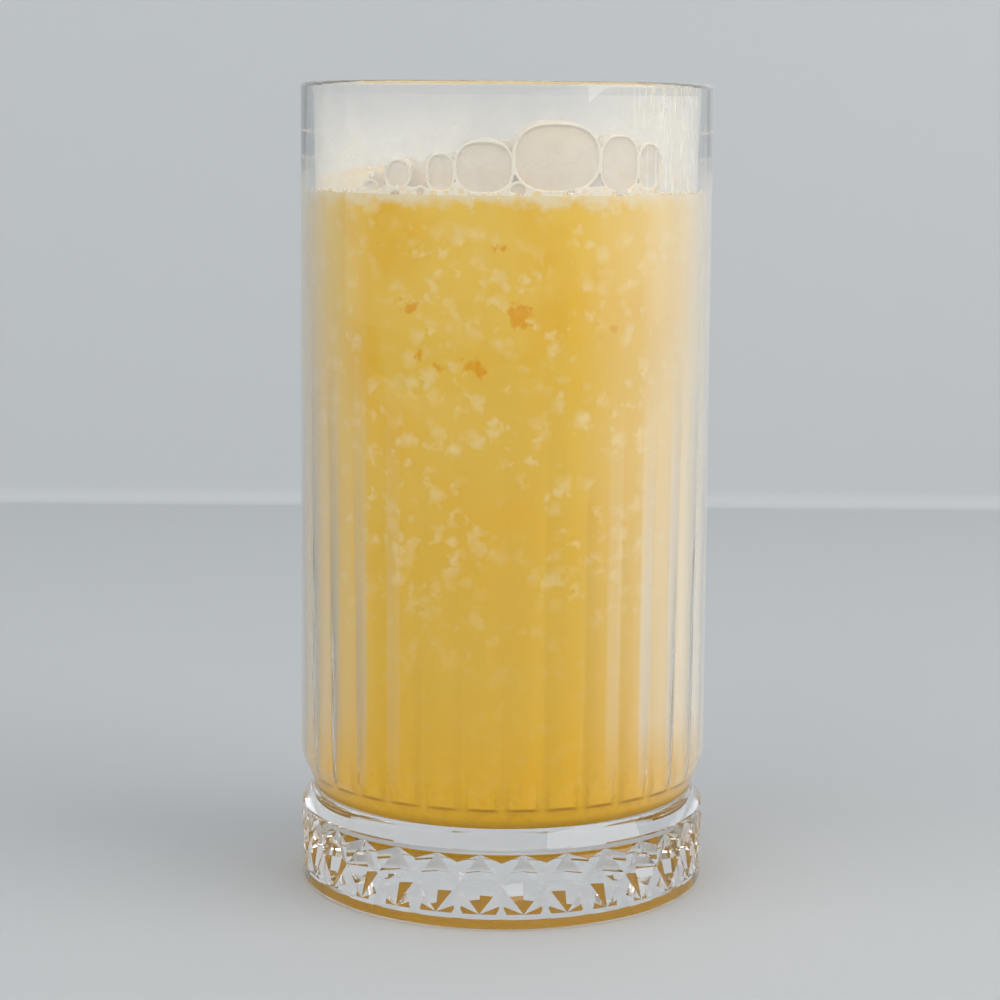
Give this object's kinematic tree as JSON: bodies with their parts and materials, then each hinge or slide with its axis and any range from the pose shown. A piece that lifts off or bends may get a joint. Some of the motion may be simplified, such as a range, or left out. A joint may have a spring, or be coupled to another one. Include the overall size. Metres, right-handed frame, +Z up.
{
  "type": "mango smoothie in a highball glass",
  "caption": "Mango smoothie with large froth bubbles in a straight highball glass with fluted inside walls, a narrow waist and a diamond-cut foot.",
  "frame": {"origin": "centre of the foot, on the level that the glass stands on", "axes": "+Z up along the glass's axis; the picture looks along +Y, so its right is +X"},
  "size_m": [0.0776, 0.0776, 0.152],
  "materials": {
    "glass": "clear pressed glass, polished",
    "smoothie": "thick opaque fruit drink, wet"
  },
  "bodies": {
    "root": {"glass": "glass", "smoothie": "smoothie"}
  },
  "joints": []
}
